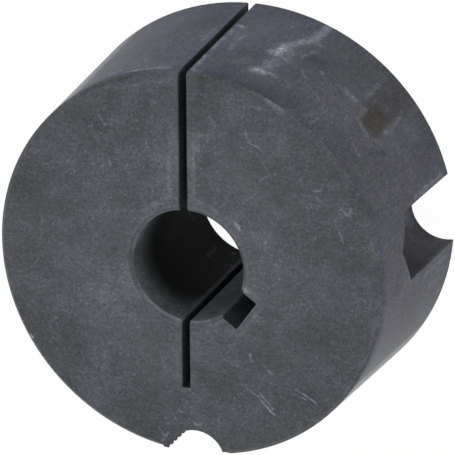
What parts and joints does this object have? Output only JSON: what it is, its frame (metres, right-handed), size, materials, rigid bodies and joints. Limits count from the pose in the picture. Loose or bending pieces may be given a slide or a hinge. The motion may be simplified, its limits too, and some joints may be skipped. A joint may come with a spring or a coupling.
{
  "type": "taper bush",
  "caption": "Split cast-iron bush with a tapered outside, keyed bore and half-round screw holes in its rim; it clamps a pulley, sprocket or coupling hub to a shaft.",
  "frame": {"origin": "centre of the large end face, on the bore's axis", "axes": "+Z along the bore from the large end to the small end; the through saw cut is on the +Y side"},
  "size_m": [0.0694, 0.0695, 0.0318],
  "materials": {
    "phosphated_iron": "matte dark grey phosphate coating, rubbed light at the edges"
  },
  "bodies": {
    "root": {"taper_bush": "phosphated_iron"}
  },
  "joints": []
}
